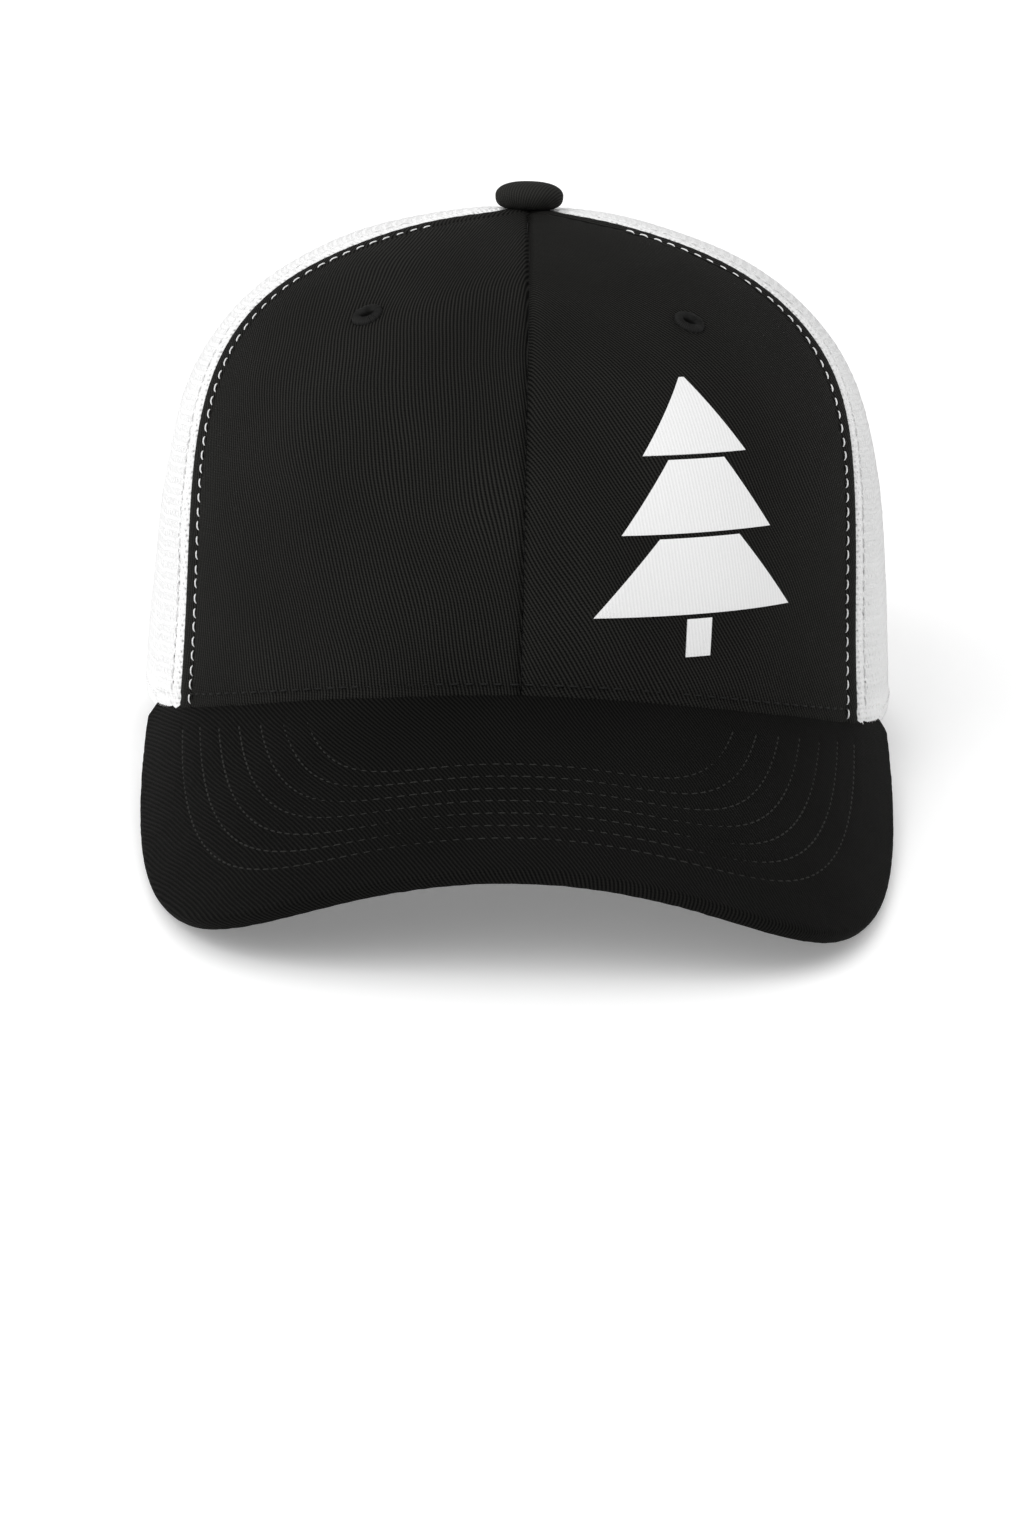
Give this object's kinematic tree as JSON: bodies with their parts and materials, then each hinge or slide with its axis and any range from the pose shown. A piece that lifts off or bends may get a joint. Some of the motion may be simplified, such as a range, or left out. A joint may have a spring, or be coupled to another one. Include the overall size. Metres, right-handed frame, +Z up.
{
  "type": "trucker cap",
  "caption": "Cap with a stiff black twill front, white mesh sides and back, a curved stitched visor, a covered top button and a snap strap across the back opening.",
  "frame": {"origin": "on the surface the cap stands on, under the middle of its bounding box; the cap rests on the two lobes of its visor and on the foot of its back opening", "axes": "+Z up, the visor points to -Y, +X is the wearer's left; the crown's own axis leans back from +Z by 6.7 degrees because the cap stands on its visor"},
  "size_m": [0.1726, 0.2664, 0.1269],
  "materials": {
    "black_twill": "brushed cotton twill, black, matt with a soft sheen",
    "white_mesh": "polyester knitted mesh, white, soft gloss on the filaments",
    "buckram": "stiff open-weave buckram, black",
    "black_tape": "woven cotton tape, black",
    "white_tape": "woven polyester tape, white",
    "white_thread": "spun polyester sewing thread, white",
    "black_thread": "spun polyester sewing thread, black",
    "white_vinyl": "thin matt heat-transfer film, white",
    "pressed_steel": "pressed and plated",
    "visor_plastic": "moulded polyethylene board",
    "sweatband_cloth": "soft cotton twill, black",
    "padding": "thin foam-backed jersey",
    "label": "blank satin tape",
    "strap_plastic": "moulded, fine matt grain"
  },
  "bodies": {
    "root": {"front_panel_left": "black_twill", "front_panel_right": "black_twill", "buckram_left": "buckram", "buckram_right": "buckram", "side_mesh_left": "white_mesh", "side_mesh_right": "white_mesh", "back_mesh_left": "white_mesh", "back_mesh_right": "white_mesh", "seam_tape_front": "black_tape", "seam_tape_front_left": "white_tape", "seam_tape_front_right": "white_tape", "seam_tape_back_left": "white_tape", "seam_tape_back_right": "white_tape", "seam_tape_back": "white_tape", "panel_topstitch_left": "white_thread", "panel_topstitch_right": "white_thread", "mesh_topstitch_left": "white_thread", "mesh_topstitch_right": "white_thread", "hem_stitching": "black_thread", "eyelet_left": "black_thread", "eyelet_right": "black_thread", "emblem": "white_vinyl", "button_cover": "black_twill", "button_shell": "pressed_steel", "button_rivet": "pressed_steel", "button_washer": "pressed_steel", "visor_board": "visor_plastic", "visor_top_cover": "black_twill", "visor_under_cover": "black_twill", "visor_stitching": "black_thread", "sweatband": "sweatband_cloth", "sweatband_padding": "padding", "care_label": "label", "arch_binding": "white_tape", "hole_strap_tab": "strap_plastic", "peg_strap_tab": "strap_plastic"},
    "hole_strap": {"hole_strap": "strap_plastic"},
    "peg_strap": {"peg_strap": "strap_plastic"}
  },
  "joints": [
    {"name": "hole_strap_swing", "type": "hinge", "parent": "root", "child": "hole_strap", "pos_m": [0.03198, 0.12306, 0.01087], "axis": [0, -0.1169, -0.9931], "range_deg": [0, 60], "stiffness_Nm_per_rad": 0.01},
    {"name": "peg_strap_swing", "type": "hinge", "parent": "root", "child": "peg_strap", "pos_m": [-0.03198, 0.12306, 0.01087], "axis": [0, -0.1169, -0.9931], "range_deg": [0, 25], "stiffness_Nm_per_rad": 0.01}
  ]
}
